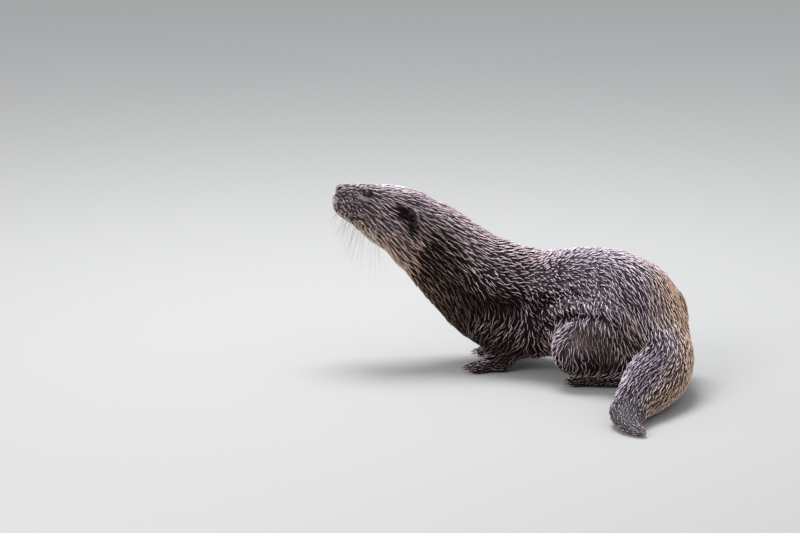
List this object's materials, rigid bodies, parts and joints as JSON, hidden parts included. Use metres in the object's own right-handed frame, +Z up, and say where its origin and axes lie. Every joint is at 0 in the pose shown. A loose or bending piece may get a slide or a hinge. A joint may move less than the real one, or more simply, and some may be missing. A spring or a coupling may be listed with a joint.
{
  "type": "river otter model",
  "caption": "Still, life-size model of a wet river otter, low on all fours with its head raised and its tail laid on the floor round its left side.",
  "frame": {"origin": "on the floor, under the middle of the model's own box", "axes": "+Z up; -X is the way the nose points; -Y is the otter's left side, round which the tail is laid"},
  "size_m": [0.5054, 0.5336, 0.2563],
  "materials": {
    "coat": "wet fur in pointed clumps, dark brown with pale sheen",
    "ear": "thin short-furred ear flap",
    "nose_leather": "moist pebbled nose skin",
    "eye": "dark wet eye",
    "claw": "horn-coloured claw"
  },
  "bodies": {
    "root": {"nose_leather": "nose_leather", "eye_left": "eye", "ear_left": "ear", "eye_right": "eye", "ear_right": "ear", "head": "coat", "neck": "coat", "chest": "coat", "belly": "coat", "hips": "coat", "tail_root": "coat", "tail_middle": "coat", "tail_tip": "coat", "claw_foreleg_left_1": "claw", "claw_foreleg_left_2": "claw", "claw_foreleg_left_3": "claw", "claw_foreleg_left_4": "claw", "claw_foreleg_left_5": "claw", "foreleg_left": "coat", "forefoot_left": "coat", "claw_foreleg_right_1": "claw", "claw_foreleg_right_2": "claw", "claw_foreleg_right_3": "claw", "claw_foreleg_right_4": "claw", "claw_foreleg_right_5": "claw", "foreleg_right": "coat", "forefoot_right": "coat", "claw_hindleg_left_1": "claw", "claw_hindleg_left_2": "claw", "claw_hindleg_left_3": "claw", "claw_hindleg_left_4": "claw", "claw_hindleg_left_5": "claw", "hindleg_left": "coat", "hindfoot_left": "coat", "claw_hindleg_right_1": "claw", "claw_hindleg_right_2": "claw", "claw_hindleg_right_3": "claw", "claw_hindleg_right_4": "claw", "claw_hindleg_right_5": "claw", "hindleg_right": "coat", "hindfoot_right": "coat"}
  },
  "joints": []
}
